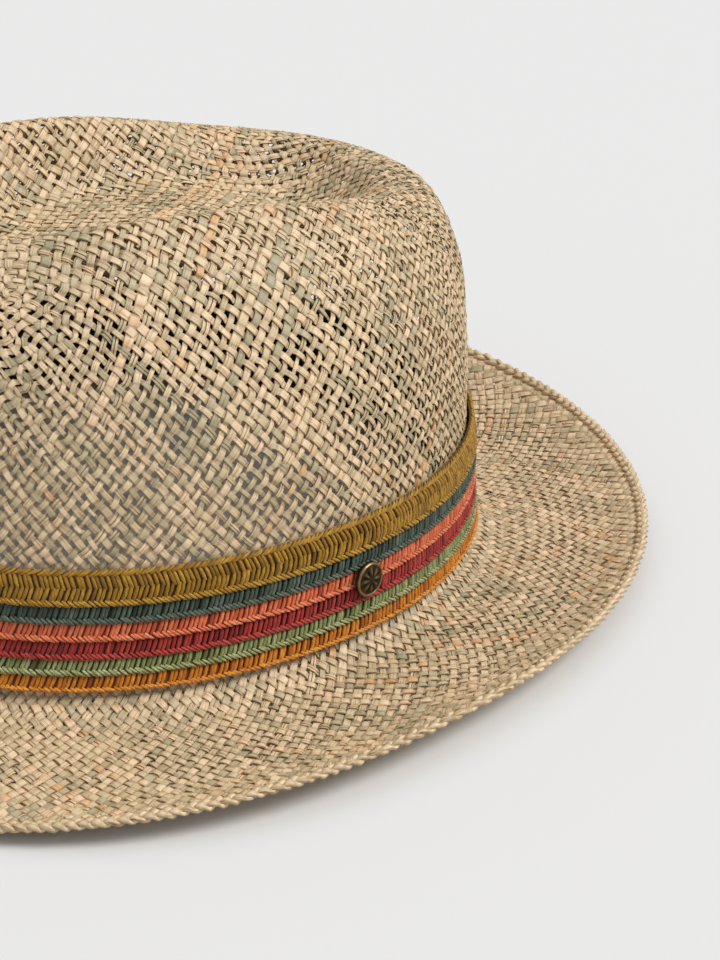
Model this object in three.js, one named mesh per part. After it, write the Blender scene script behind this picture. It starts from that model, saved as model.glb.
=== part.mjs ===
// A straw fedora with a teardrop crown, a snap brim and a band of six shingled braids.
// It stands as it rests by itself: leaning back a little, on the front of the brim and on
// the turn of the brim behind the crown. Millimetres, +Z up, the front towards -Y, the
// wearer's left towards +X, the origin on the floor under the middle of the whole hat.
import * as THREE from 'three';

// Sizes of the straw and of what is joined to it
const straw = { wall: 1.8, seamGap: 0.3 };
const sides = 60; // facets round the hat
const seat = { lean: 2.4, back: -4.95, drop: -5.15 }; // degrees, then millimetres
const edgeRope = { radius: 1.9, facets: 8 };
const sweat = { wall: 1.0, height: 28, belowSeam: 4 };

// The hat is a stack of oval levels, from the middle of the dent, over the crest and down
// the crown, and out to the edge of the brim. Each level has its half width, its reach to
// the front and to the back, the power of its superellipse, five heights from the front
// round to the back, how far the front pinches push it in and down, and how many facets
// lead to the next level.
const levelColumns = ['name', 'width', 'front', 'back', 'square', 'heights', 'pinch', 'sink', 'facets'];
const levelRows = [
  ['dentFloor', 9, 22, 40, 2.0, [94, 95, 96.5, 94.5, 91.5], 0, 0, 2],
  ['dentFoot', 29, 56, 64, 2.2, [97.5, 98.5, 99.5, 95.5, 92.5], 11, 0, 2],
  ['dentWall', 33.5, 68, 70, 2.2, [107.5, 108, 107, 99.5, 97], 10, 4, 2],
  ['crest', 39, 77, 76.5, 2.25, [117, 117, 114, 103.5, 102], 11, 5, 2],
  ['shoulder', 51, 86, 90, 2.2, [111.5, 111, 107, 101, 99.5], 12, 5, 2],
  ['upperWall', 66, 92, 97.5, 2.25, [92, 90.5, 88, 86, 85], 7, 0, 2],
  ['middleWall', 76, 96, 98.5, 2.15, [70, 69, 68, 67, 66], 2, 0, 3],
  ['bandTop', 82, 99.5, 98.5, 2.1, [44.5, 44, 43.5, 43, 43], 0, 0, 2],
  ['seam', 85, 102, 100.5, 2.1, [19.5, 19, 18.5, 18, 18], 0, 0, 1],
  ['turn', 86.2, 103.2, 101.7, 2.1, [14.5, 14, 13.5, 13.2, 13.2], 0, 0, 1],
  ['brimRoot', 90.6, 107.5, 106, 2.1, [12, 11.2, 10.6, 11, 11.5], 0, 0, 2],
  ['brimMiddle', 104, 118, 121, 2.15, [8.4, 8.7, 10, 11.3, 12], 0, 0, 2],
  ['brimOuter', 118, 130, 135, 2.2, [4.2, 7, 11, 14, 16], 0, 0, 1],
  ['brimEdge', 125.6, 136.4, 144.8, 2.27, [1.9, 6.9, 13.9, 17.8, 20.8], 0, 0, 0],
];
const levels = levelRows.map((row) => Object.fromEntries(levelColumns.map((key, i) => [key, row[i]])));
const dentMiddle = new THREE.Vector3(0, 9, 95.6);
const pinch = { at: -54, spread: 27, forward: 0.35 }; // degrees from the side, and how far it slants

// The band: braids from the top one down, each lying over the top of the next
const braidColumns = ['name', 'shows', 'color'];
const braidRows = [
  ['band_olive', 8.9, 0x95761d],
  ['band_teal', 4.6, 0x47655c],
  ['band_coral', 4.5, 0xdd7350],
  ['band_crimson', 4.8, 0x93303a],
  ['band_green', 4.1, 0x84995b],
  ['band_ochre', 4.4, 0xcb8420],
];
const braids = braidRows.map((row) => Object.fromEntries(braidColumns.map((key, i) => [key, row[i]])));
const bandRise = 1.2; // how far the olive braid reaches above its level
const shingle = { tuck: 1.2, rest: 0.3, topOut: 0.95, chain: 1.5, waistOut: 2.25, lipIn: 1.7, lipOut: 2.8 };

const badge = {
  angle: 2.6, radius: 4.6, back: 3.45, edge: 0.7, dome: 0.75, rim: 0.4, rimAt: 4.1, rimWidth: 0.42,
  petals: 8, petalAt: 2.0, petalWidth: 1.25, petalRise: 0.32, rounds: 6, spokes: 32,
};

const rad = THREE.MathUtils.degToRad;
const upright = new THREE.Vector3(0, -Math.sin(rad(seat.lean)), Math.cos(rad(seat.lean)));

// The five heights of a level, front to back, as the terms of a cosine series
function cosineTerms(heights) {
  const last = heights.length - 1;
  return heights.map((unused, n) => {
    let sum = 0;
    heights.forEach((height, k) => {
      const share = k === 0 || k === last ? 0.5 : 1;
      sum += share * height * Math.cos((n * k * Math.PI) / last);
    });
    const scale = n === 0 || n === last ? 1 : 2;
    return (scale * sum) / last;
  });
}
const heightTerms = levels.map((level) => cosineTerms(level.heights));

function levelPoint(index, angle) {
  const level = levels[index];
  const s = Math.sin(angle);
  const c = Math.cos(angle);
  const power = 2 / level.square;
  const reach = s < 0 ? level.front : level.back;
  const point = new THREE.Vector3(
    level.width * Math.sign(c) * Math.abs(c) ** power,
    reach * Math.sign(s) * Math.abs(s) ** power,
    0,
  );
  const round = Math.acos(THREE.MathUtils.clamp(-s, -1, 1));
  heightTerms[index].forEach((term, n) => { point.z += term * Math.cos(n * round); });
  for (const at of [rad(pinch.at), Math.PI - rad(pinch.at)]) {
    const off = THREE.MathUtils.euclideanModulo(angle - at + Math.PI, 2 * Math.PI) - Math.PI;
    const share = Math.exp(-((off / rad(pinch.spread)) ** 2));
    point.x -= share * level.pinch * Math.cos(at);
    point.y -= share * level.pinch * Math.sin(at) * pinch.forward;
    point.z -= share * level.sink;
  }
  return point;
}

// Distances down the hat: each level's knot is the mean length of straw above it
const knots = [0];
const gauges = 24; // angles round the hat where that length is measured
for (let i = 1; i < levels.length; i++) {
  let sum = 0;
  for (let k = 0; k < gauges; k++) {
    const angle = (2 * Math.PI * k) / gauges;
    sum += levelPoint(i, angle).distanceTo(levelPoint(i - 1, angle));
  }
  knots.push(knots[i - 1] + sum / gauges);
}
const knotOf = (name) => knots[levels.findIndex((level) => level.name === name)];

// The straw's outer face: a smooth line down through the levels at each angle
function slope(points, i) {
  const last = points.length - 1;
  const step = (k) => points[k + 1].clone().sub(points[k]).divideScalar(knots[k + 1] - knots[k]);
  if (i === 0) return step(0);
  if (i === last) return step(last - 1);
  const before = knots[i] - knots[i - 1];
  const after = knots[i + 1] - knots[i];
  return step(i - 1).multiplyScalar(after).addScaledVector(step(i), before).divideScalar(before + after);
}

function strawPoint(down, angle) {
  let i = levels.length - 2;
  while (i > 0 && knots[i] > down) i--;
  const points = levels.map((level, k) => levelPoint(k, angle));
  const span = knots[i + 1] - knots[i];
  const u = (down - knots[i]) / span;
  return points[i].clone().multiplyScalar(2 * u ** 3 - 3 * u ** 2 + 1)
    .addScaledVector(slope(points, i), (u ** 3 - 2 * u ** 2 + u) * span)
    .addScaledVector(points[i + 1], -2 * u ** 3 + 3 * u ** 2)
    .addScaledVector(slope(points, i + 1), (u ** 3 - u ** 2) * span);
}

// The point there with the directions down the straw and out of its face
const nudge = { down: 0.02, angle: 0.0004 };
function strawFrame(down, angle) {
  const point = strawPoint(down, angle);
  const along = strawPoint(down + nudge.down, angle).sub(strawPoint(down - nudge.down, angle)).normalize();
  const round = strawPoint(down, angle + nudge.angle).sub(strawPoint(down, angle - nudge.angle));
  const out = along.clone().cross(round).normalize();
  return { point, along, out };
}

// A point that would lie under the floor is pressed up to it
function onFloor(point) {
  const height = point.dot(upright) + seat.drop;
  return height < 0 ? point.addScaledVector(upright, -height) : point;
}

// One ring of points round the hat, at a distance down the straw and out from its face
function ring(down, out) {
  const points = [];
  for (let k = 0; k < sides; k++) {
    const frame = strawFrame(down, (2 * Math.PI * k) / sides);
    points.push(onFloor(frame.point.addScaledVector(frame.out, out)));
  }
  return points;
}

// Joins rings into one closed skin, either end to end or with a middle point at each end
function skin(rings, firstMiddle, lastMiddle) {
  const position = rings.flat().flatMap((p) => [p.x, p.y, p.z]);
  const index = [];
  const count = rings[0].length;
  const at = (r, k) => (r % rings.length) * count + (k % count);
  const strips = firstMiddle ? rings.length - 1 : rings.length;
  for (let r = 0; r < strips; r++) {
    for (let k = 0; k < count; k++) {
      index.push(at(r, k), at(r + 1, k), at(r + 1, k + 1));
      index.push(at(r, k), at(r + 1, k + 1), at(r, k + 1));
    }
  }
  if (firstMiddle) {
    const first = rings.length * count;
    position.push(...firstMiddle.toArray(), ...lastMiddle.toArray());
    for (let k = 0; k < count; k++) {
      index.push(first, at(0, k), at(0, k + 1));
      index.push(first + 1, at(rings.length - 1, k + 1), at(rings.length - 1, k));
    }
  }
  const geometry = new THREE.BufferGeometry();
  geometry.setAttribute('position', new THREE.Float32BufferAttribute(position, 3));
  geometry.setIndex(index);
  geometry.computeVertexNormals();
  return geometry;
}

function piece(name, geometry, color, roughness, metalness = 0) {
  const mesh = new THREE.Mesh(geometry, new THREE.MeshStandardMaterial({ color, roughness, metalness }));
  mesh.name = name;
  return mesh;
}

// Distances down the straw where facets meet, between two ends and not too near them
const leastFacet = 0.5;
function stations(from, to) {
  const list = [];
  levels.forEach((level, i) => {
    for (let k = 0; k < level.facets; k++) {
      list.push(knots[i] + ((knots[i + 1] - knots[i]) * k) / level.facets);
    }
  });
  return [from, ...list.filter((down) => down > from + leastFacet && down < to - leastFacet), to];
}

function buildCrown() {
  const downs = stations(0, knotOf('seam'));
  const outer = downs.map((down) => ring(down, 0));
  const inner = downs.map((down) => ring(down, -straw.wall)).reverse();
  const under = dentMiddle.clone();
  under.z -= straw.wall;
  return piece('crown', skin([...outer, ...inner], dentMiddle, under), 0xc3b08a, 0.7);
}

function buildBrim() {
  const downs = stations(knotOf('seam') + straw.seamGap, knotOf('brimEdge'));
  const top = downs.map((down) => ring(down, 0));
  const under = downs.map((down) => ring(down, -straw.wall)).reverse();
  return piece('brim', skin([...top, ...under]), 0xc8b68f, 0.7);
}

// The plaited rope that closes the edge of the brim
function buildBrimEdge() {
  const { radius, facets } = edgeRope;
  const rings = [];
  for (let f = 0; f < facets; f++) {
    const turn = (2 * Math.PI * (f + 0.5)) / facets;
    const points = [];
    for (let k = 0; k < sides; k++) {
      const { point, along, out } = strawFrame(knotOf('brimEdge'), (2 * Math.PI * k) / sides);
      point.addScaledVector(along, straw.seamGap + radius * (1 + Math.sin(turn)));
      point.addScaledVector(out, radius * Math.cos(turn) - straw.wall / 2);
      points.push(onFloor(point));
    }
    rings.push(points);
  }
  return piece('brim_edge', skin(rings), 0xb89f70, 0.75);
}

// Each braid leans out from under the one above it and ends in a thicker chain edge
function buildBraids() {
  let top = knotOf('bandTop') - bandRise;
  return braids.map((braid, i) => {
    const from = i ? top - shingle.tuck : top;
    const to = top + braid.shows;
    const waist = to - shingle.chain;
    top = to;
    const section = [
      [from, shingle.topOut], [waist, shingle.waistOut], [to, shingle.lipOut], [to, shingle.lipIn],
      [from, shingle.rest],
    ];
    return piece(braid.name, skin(section.map(([down, out]) => ring(down, out))), braid.color, 0.85);
  });
}

function buildSweatband() {
  const bottom = knotOf('seam') + sweat.belowSeam;
  const top = bottom - sweat.height;
  const near = -straw.wall - straw.seamGap;
  const far = near - sweat.wall;
  const middle = (top + bottom) / 2;
  const section = [[top, near], [middle, near], [bottom, near], [bottom, far], [middle, far], [top, far]];
  return piece('sweatband', skin(section.map(([down, out]) => ring(down, out))), 0x1c1a19, 0.9);
}

// The stud on the wearer's left: a domed disc with a raised rim and eight plain petals
function badgeHeight(r, turn) {
  const bump = (at, width) => Math.exp(-(((r - at) / width) ** 2));
  const petal = Math.cos(badge.petals * turn) * bump(badge.petalAt, badge.petalWidth);
  const dome = badge.dome * (1 - (r / badge.radius) ** 2);
  return badge.edge + dome + badge.rim * bump(badge.rimAt, badge.rimWidth) + badge.petalRise * petal;
}

function buildBadge() {
  const rings = [];
  const disc = (r, height) => {
    const points = [];
    for (let k = 0; k < badge.spokes; k++) {
      const turn = (2 * Math.PI * k) / badge.spokes;
      const z = height ?? badgeHeight(r, turn);
      points.push(new THREE.Vector3(r * Math.cos(turn), r * Math.sin(turn), z));
    }
    rings.push(points);
  };
  for (let k = 1; k <= badge.rounds; k++) disc((badge.radius * k) / badge.rounds);
  disc(badge.radius, 0);
  const front = new THREE.Vector3(0, 0, badgeHeight(0, 0));
  const stud = piece('badge', skin(rings, front, new THREE.Vector3()), 0x8a7250, 0.45, 0.9);
  const coral = braids.findIndex((braid) => braid.name === 'band_coral');
  const above = braids.slice(0, coral).reduce((sum, braid) => sum + braid.shows, 0);
  const down = knotOf('bandTop') - bandRise + above + braids[coral].shows / 2;
  const { point, along, out } = strawFrame(down, rad(badge.angle));
  const basis = new THREE.Matrix4().makeBasis(along.clone().cross(out).negate(), along.clone().negate(), out);
  stud.quaternion.setFromRotationMatrix(basis);
  stud.position.copy(point.addScaledVector(out, badge.back));
  return stud;
}

const hat = new THREE.Group();
hat.add(buildCrown(), buildBrim(), buildBrimEdge(), ...buildBraids(), buildSweatband(), buildBadge());
hat.rotation.x = -rad(seat.lean);
hat.position.set(0, seat.back, seat.drop);

export default hat;
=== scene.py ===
import math

import bmesh
import bpy
import numpy as np
from mathutils import Matrix, Vector


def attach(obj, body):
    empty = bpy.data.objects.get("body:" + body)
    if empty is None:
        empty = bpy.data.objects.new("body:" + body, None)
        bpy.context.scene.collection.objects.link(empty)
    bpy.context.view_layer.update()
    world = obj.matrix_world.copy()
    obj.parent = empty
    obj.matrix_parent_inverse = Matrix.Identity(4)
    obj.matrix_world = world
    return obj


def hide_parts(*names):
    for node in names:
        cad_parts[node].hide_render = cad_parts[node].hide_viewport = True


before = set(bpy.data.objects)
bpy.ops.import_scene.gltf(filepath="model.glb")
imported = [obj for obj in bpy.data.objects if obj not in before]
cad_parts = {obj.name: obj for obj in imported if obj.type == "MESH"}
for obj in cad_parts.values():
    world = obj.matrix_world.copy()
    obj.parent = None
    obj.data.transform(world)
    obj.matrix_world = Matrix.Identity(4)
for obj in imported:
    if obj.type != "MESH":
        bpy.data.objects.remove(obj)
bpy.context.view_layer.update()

scene = bpy.context.scene
mm = 0.001
print("frame loaded")

cameraPlace = {
    "azimuth": 43.451, "elevation": 28.376, "roll": 3.328,  # degrees
    "distance": 174.57, "target": (323.987, -253.559, 239.858),  # millimetres
    "lens": 87.787,
}


def makeCamera(c):
    az, el, roll = (math.radians(c[key]) for key in ("azimuth", "elevation", "roll"))
    back = Vector((math.sin(az) * math.cos(el), -math.cos(az) * math.cos(el), math.sin(el)))
    right = Vector((math.cos(az), math.sin(az), 0))
    up = back.cross(right)
    xAxis = math.cos(roll) * right + math.sin(roll) * up
    yAxis = math.cos(roll) * up - math.sin(roll) * right
    data = bpy.data.cameras.new("photoCamera")
    data.lens = c["lens"]
    data.clip_start = 0.01
    data.clip_end = 20
    camera = bpy.data.objects.new("photoCamera", data)
    scene.collection.objects.link(camera)
    place = Matrix((xAxis, yAxis, back)).transposed().to_4x4()
    place.translation = (Vector(c["target"]) + back * c["distance"]) * mm
    camera.matrix_world = place
    scene.camera = camera


makeCamera(cameraPlace)

# The same levels as in the solids: half width, front, back, power, five heights front to
# back, pinch and sink. Millimetres in the hat's own level frame.
hatForm = {
    "lean": 2.4, "back": -4.95, "drop": -5.15,
    "pinchAt": -54, "pinchSpread": 27, "pinchForward": 0.35,
    "dentMiddle": (0, 9, 95.6), "wall": 1.8, "seamGap": 0.3,
    "around": 1440, "rowStep": 0.25,  # places round the hat and step down it in the tables
    "gauge": 24,  # places round the hat where the distances between levels are measured
}
hatLevels = {
    "dentFloor": (9, 22, 40, 2.0, 94, 95, 96.5, 94.5, 91.5, 0, 0),
    "dentFoot": (29, 56, 64, 2.2, 97.5, 98.5, 99.5, 95.5, 92.5, 11, 0),
    "dentWall": (33.5, 68, 70, 2.2, 107.5, 108, 107, 99.5, 97, 10, 4),
    "crest": (39, 77, 76.5, 2.25, 117, 117, 114, 103.5, 102, 11, 5),
    "shoulder": (51, 86, 90, 2.2, 111.5, 111, 107, 101, 99.5, 12, 5),
    "upperWall": (66, 92, 97.5, 2.25, 92, 90.5, 88, 86, 85, 7, 0),
    "middleWall": (76, 96, 98.5, 2.15, 70, 69, 68, 67, 66, 2, 0),
    "bandTop": (82, 99.5, 98.5, 2.1, 44.5, 44, 43.5, 43, 43, 0, 0),
    "seam": (85, 102, 100.5, 2.1, 19.5, 19, 18.5, 18, 18, 0, 0),
    "turn": (86.2, 103.2, 101.7, 2.1, 14.5, 14, 13.5, 13.2, 13.2, 0, 0),
    "brimRoot": (90.6, 107.5, 106, 2.1, 12, 11.2, 10.6, 11, 11.5, 0, 0),
    "brimMiddle": (104, 118, 121, 2.15, 8.4, 8.7, 10, 11.3, 12, 0, 0),
    "brimOuter": (118, 130, 135, 2.2, 4.2, 7, 11, 14, 16, 0, 0),
    "brimEdge": (125.6, 136.4, 144.8, 2.27, 1.9, 6.9, 13.9, 17.8, 20.8, 0, 0),
}


def levelPoints(angles):
    rows = np.array(list(hatLevels.values()), float)
    s, c = np.sin(angles), np.cos(angles)
    around = np.arccos(np.clip(-s, -1, 1))
    out = np.zeros((len(rows), len(angles), 3))
    for i, (width, front, back, square, h0, h1, h2, h3, h4, pinch, sink) in enumerate(rows):
        power = 2 / square
        out[i, :, 0] = width * np.sign(c) * np.abs(c) ** power
        out[i, :, 1] = np.where(s < 0, front, back) * np.sign(s) * np.abs(s) ** power
        heights = (h0, h1, h2, h3, h4)
        for n in range(5):
            terms = [
                h * math.cos(n * k * math.pi / 4) * (0.5 if k in (0, 4) else 1)
                for k, h in enumerate(heights)
            ]
            out[i, :, 2] += sum(terms) / 4 * (1 if n in (0, 4) else 2) * np.cos(n * around)
        for at in (math.radians(hatForm["pinchAt"]), math.pi - math.radians(hatForm["pinchAt"])):
            off = (angles - at + math.pi) % (2 * math.pi) - math.pi
            share = np.exp(-(off / math.radians(hatForm["pinchSpread"])) ** 2)
            out[i, :, 0] -= share * pinch * math.cos(at)
            out[i, :, 1] -= share * pinch * math.sin(at) * hatForm["pinchForward"]
            out[i, :, 2] -= share * sink
    return out


def unit(v):
    return v / np.maximum(np.linalg.norm(v, axis=-1, keepdims=True), 1e-9)


# Tables of points and of outward directions: rows go down the straw, columns go round
def makeTables():
    gauge = levelPoints(np.linspace(0, 2 * math.pi, hatForm["gauge"], endpoint=False))
    steps = np.linalg.norm(gauge[1:] - gauge[:-1], axis=2).mean(axis=1)
    knots = np.concatenate(([0], np.cumsum(steps)))
    angles = np.linspace(0, 2 * math.pi, hatForm["around"], endpoint=False)
    level = levelPoints(angles)
    span = np.diff(knots)[:, None, None]
    step = (level[1:] - level[:-1]) / span
    inside = (step[:-1] * span[1:] + step[1:] * span[:-1]) / (span[1:] + span[:-1])
    slope = np.concatenate((step[:1], inside, step[-1:]))
    middle = np.array(hatForm["dentMiddle"])
    reach = np.linalg.norm(level[0] - middle, axis=1).mean()
    inner = np.arange(-reach, 0, hatForm["rowStep"])
    fan = middle + (level[0] - middle)[None] * ((inner + reach) / reach)[:, None, None]
    downs = np.arange(0, knots[-1] + hatForm["rowStep"], hatForm["rowStep"])
    i = np.clip(np.searchsorted(knots, downs, side="right") - 1, 0, len(knots) - 2)
    u = ((downs - knots[i]) / np.diff(knots)[i])[:, None, None]
    body = (level[i] * (2 * u**3 - 3 * u**2 + 1) + slope[i] * (u**3 - 2 * u**2 + u) * span[i]
            + level[i + 1] * (3 * u**2 - 2 * u**3) + slope[i + 1] * (u**3 - u**2) * span[i])
    points = np.concatenate((fan, body))
    alongs = np.gradient(points, axis=0)
    rounds = np.roll(points, -1, axis=1) - np.roll(points, 1, axis=1)
    outs = np.cross(alongs, rounds)
    outs[0] = outs[4].mean(axis=0)  # the middle of the dent points as the ring 1 mm from it
    ring = np.linalg.norm(np.roll(points, -1, axis=1) - points, axis=2).sum(axis=1)
    return {
        "top": -reach, "points": points, "outs": unit(outs), "alongs": unit(alongs),
        "knots": dict(zip(hatLevels, knots)),
        "downs": np.concatenate((inner, downs)), "radius": ring / (2 * math.pi),
    }


surface = makeTables()
knots = surface["knots"]


def sample(name, down, angle):
    table = surface[name]
    row = np.clip((down - surface["top"]) / hatForm["rowStep"], 0, len(table) - 1.001)
    column = (angle / (2 * math.pi) * hatForm["around"]) % hatForm["around"]
    r, k = row.astype(int), column.astype(int) % hatForm["around"]
    fr, fc = (row - r)[:, None], (column - np.floor(column))[:, None]
    k1 = (k + 1) % hatForm["around"]
    return (table[r, k] * (1 - fr) * (1 - fc) + table[r + 1, k] * fr * (1 - fc)
            + table[r, k1] * (1 - fr) * fc + table[r + 1, k1] * fr * fc)


leanTurn = np.array(Matrix.Rotation(-math.radians(hatForm["lean"]), 3, "X"))
leanShift = np.array((0, hatForm["back"], hatForm["drop"]))


# World metres for points at distances down and out of the straw, kept off the floor
def onHat(down, angle, out, lift=0.0, past=0.0):
    down, angle, out = np.broadcast_arrays(*(np.atleast_1d(v).astype(float) for v in (down, angle, out)))
    points = sample("points", down, angle)
    outs = unit(sample("outs", down, angle))
    alongs = unit(sample("alongs", down, angle))
    points = points + outs * out[:, None] + alongs * np.atleast_1d(past)[:, None]
    world = points @ leanTurn.T + leanShift
    world[:, 2] = np.maximum(world[:, 2], lift)
    return world * mm, outs @ leanTurn.T


print("form ready, crown and brim", round(knots["brimEdge"] - surface["top"]), "mm long")


def addNode(tree, kind, place=(0, 0), inputs=None, **values):
    node = tree.nodes.new(kind)
    node.location = place
    for key, value in values.items():
        setattr(node, key, value)
    for key, value in (inputs or {}).items():
        node.inputs[key].default_value = value
    return node


# Joins sockets, a row for each: from a node's output to a node's input
def joinNodes(tree, rows):
    for source, output, target, entry in rows:
        tree.links.new(source.outputs[output], target.inputs[entry])


def newSocket(group, name, way, kind, value=None):
    socket = group.interface.new_socket(name, in_out=way, socket_type="NodeSocket" + kind)
    if value is not None:
        socket.default_value = value


# Sweeps a section along loose lines that carry their own attributes. Turn and reach give a
# flat ribbon with square edges, or a round yarn.
def makeSweepTree(name, turn, reach):
    tree = bpy.data.node_groups.new(name, "GeometryNodeTree")
    inputs = {"Geometry": "Geometry", "Sides": "Int", "Flatness": "Float", "Material": "Material"}
    for label, kind in inputs.items():
        newSocket(tree, label, "INPUT", kind)
    newSocket(tree, "Geometry", "OUTPUT", "Geometry")
    named = "GeometryNodeInputNamedAttribute"
    start = addNode(tree, "NodeGroupInput", (-900, 0))
    toCurve = addNode(tree, "GeometryNodeMeshToCurve", (-700, 200))
    normal = addNode(tree, named, (-700, 0), {"Name": "strandOut"}, data_type="FLOAT_VECTOR")
    width = addNode(tree, named, (-700, -160), {"Name": "strandHalf"}, data_type="FLOAT")
    setNormal = addNode(tree, "GeometryNodeSetCurveNormal", (-480, 200), mode="FREE")
    circle = addNode(tree, "GeometryNodeCurvePrimitiveCircle", (-700, -320), {"Radius": reach}, mode="RADIUS")
    turned = addNode(tree, "GeometryNodeTransform", (-580, -320), {"Rotation": (0, 0, math.radians(turn))})
    squeeze = addNode(tree, "ShaderNodeCombineXYZ", (-700, -480), {"Y": 1.0, "Z": 1.0})
    flatten = addNode(tree, "GeometryNodeTransform", (-480, -320))
    position = addNode(tree, "GeometryNodeInputPosition", (-480, -560))
    split = addNode(tree, "ShaderNodeSeparateXYZ", (-320, -560))
    across = addNode(
        tree, "GeometryNodeStoreNamedAttribute", (-280, -320), {"Name": "across"},
        data_type="FLOAT", domain="POINT",
    )
    sweep = addNode(tree, "GeometryNodeCurveToMesh", (-80, 120), {"Fill Caps": True})
    smooth = addNode(tree, "GeometryNodeSetShadeSmooth", (100, 120))
    real = addNode(tree, "GeometryNodeRealizeInstances", (260, 120))
    paint = addNode(tree, "GeometryNodeSetMaterial", (420, 120))
    end = addNode(tree, "NodeGroupOutput", (600, 120))
    joinNodes(tree, [
        (start, "Geometry", toCurve, "Mesh"),
        (toCurve, "Curve", setNormal, "Curve"),
        (normal, "Attribute", setNormal, "Normal"),
        (start, "Sides", circle, "Resolution"),
        (start, "Flatness", squeeze, "X"),
        (circle, "Curve", turned, "Geometry"),
        (turned, "Geometry", flatten, "Geometry"),
        (squeeze, "Vector", flatten, "Scale"),
        (position, "Position", split, "Vector"),
        (flatten, "Geometry", across, "Geometry"),
        (split, "Y", across, "Value"),
        (setNormal, "Curve", sweep, "Curve"),
        (across, "Geometry", sweep, "Profile Curve"),
        (width, "Attribute", sweep, "Scale"),
        (sweep, "Mesh", smooth, "Geometry"),
        (smooth, "Geometry", real, "Geometry"),
        (real, "Geometry", paint, "Geometry"),
        (start, "Material", paint, "Material"),
        (paint, "Geometry", end, "Geometry"),
    ])
    return tree


ribbonTree = makeSweepTree("sweepRibbons", 45, math.sqrt(2))
yarnTree = makeSweepTree("sweepYarns", 180, 1.0)


def setInputs(modifier, values):
    for item in modifier.node_group.interface.items_tree:
        if item.item_type == "SOCKET" and item.in_out == "INPUT" and item.name in values:
            modifier[item.identifier] = values[item.name]


# The long edges of a flat strand, where both ends are at its side, are sharp, so that it
# shades as a ribbon
def markCrisp(mesh):
    across = np.empty(len(mesh.vertices), np.float32)
    mesh.attributes["across"].data.foreach_get("value", across)
    ends = np.empty(len(mesh.edges) * 2, np.int32)
    mesh.edges.foreach_get("vertices", ends)
    ends = ends.reshape(-1, 2)
    long = (np.abs(across[ends[:, 0]] - across[ends[:, 1]]) < 1e-4) & (np.abs(across[ends[:, 0]]) > 0.9)
    layer = mesh.attributes.get("sharp_edge") or mesh.attributes.new("sharp_edge", "BOOLEAN", "EDGE")
    layer.data.foreach_set("value", long)


def placePiece(name, mesh, material):
    mesh.materials.clear()
    mesh.materials.append(material)
    piece = bpy.data.objects.new(name, mesh)
    scene.collection.objects.link(piece)
    return piece


# A closed ring of quads from rings of points, section by section
def addGrid(work, rings):
    made = [[work.verts.new(p) for p in ring] for ring in rings]
    count = len(made[0])
    for r, a in enumerate(made):
        b = made[(r + 1) % len(made)]
        for k in range(count):
            work.faces.new((a[k], b[k], b[(k + 1) % count], a[(k + 1) % count])).smooth = True


def faceOutwards(work):
    if work.calc_volume(signed=True) < 0:
        bmesh.ops.reverse_faces(work, faces=work.faces)


# One mesh from many lines: each is (points, outs, half widths, along, tone, tint, lift). A
# plain ring may fill them from inside.
def sweepLines(name, lines, material, flatness, ribbon=True, plain=None, plainTone=0.0):
    counts = np.array([len(line[0]) for line in lines])
    points = np.concatenate([line[0] for line in lines])
    index = np.arange(len(points))
    last = np.cumsum(counts) - 1
    keep = np.ones(len(points), bool)
    keep[last] = False
    first = index[keep]
    mesh = bpy.data.meshes.new(name + "Lines")
    mesh.from_pydata(points.tolist(), np.stack((first, first + 1), axis=1).tolist(), [])
    outs = np.concatenate([line[1] for line in lines])
    layer = mesh.attributes.new("strandOut", "FLOAT_VECTOR", "POINT")
    layer.data.foreach_set("vector", outs.astype(np.float32).ravel())
    for column, key in ((2, "strandHalf"), (3, "along"), (4, "tone"), (5, "tint"), (6, "lift")):
        values = np.concatenate([np.broadcast_to(line[column], len(line[0])) for line in lines])
        layer = mesh.attributes.new(key, "FLOAT", "POINT")
        layer.data.foreach_set("value", values.astype(np.float32))
    carrier = bpy.data.objects.new(name + "Lines", mesh)
    scene.collection.objects.link(carrier)
    modifier = carrier.modifiers.new("sweep", "NODES")
    modifier.node_group = ribbonTree if ribbon else yarnTree
    sides = 4 if ribbon else 5
    setInputs(modifier, {"Sides": sides, "Flatness": flatness, "Material": material})
    evaluated = carrier.evaluated_get(bpy.context.evaluated_depsgraph_get())
    made = bpy.data.meshes.new_from_object(evaluated)
    carrier.modifiers.remove(modifier)
    bpy.data.objects.remove(carrier)
    made.name = name
    work = bmesh.new()
    work.from_mesh(made)
    faceOutwards(work)
    if plain is not None:
        known = set(work.verts)
        addGrid(work, plain)
        for key, value in (("tone", plainTone), ("lift", 1.0)):
            layer = work.verts.layers.float[key]
            for vertex in work.verts:
                if vertex not in known:
                    vertex[layer] = value
    work.to_mesh(made)
    work.free()
    if ribbon:
        markCrisp(made)
    return placePiece(name, made, material)


def ringPiece(name, section, sides, material):
    angles = np.linspace(0, 2 * math.pi, sides, endpoint=False)
    work = bmesh.new()
    addGrid(work, [onHat(down, angles, out)[0] for down, out in section])
    faceOutwards(work)
    mesh = bpy.data.meshes.new(name)
    work.to_mesh(mesh)
    work.free()
    return placePiece(name, mesh, material)


def finishPiece(piece, node):
    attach(piece, "root")
    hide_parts(node)
    triangles = sum(len(p.vertices) - 2 for p in piece.data.polygons)
    print(piece.name, triangles, "triangles")


def attributeNode(tree, place, name):
    return addNode(tree, "ShaderNodeAttribute", place, attribute_name=name)


def mathNode(tree, place, operation, by=None):
    return addNode(tree, "ShaderNodeMath", place, {} if by is None else {1: by}, operation=operation)


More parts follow.
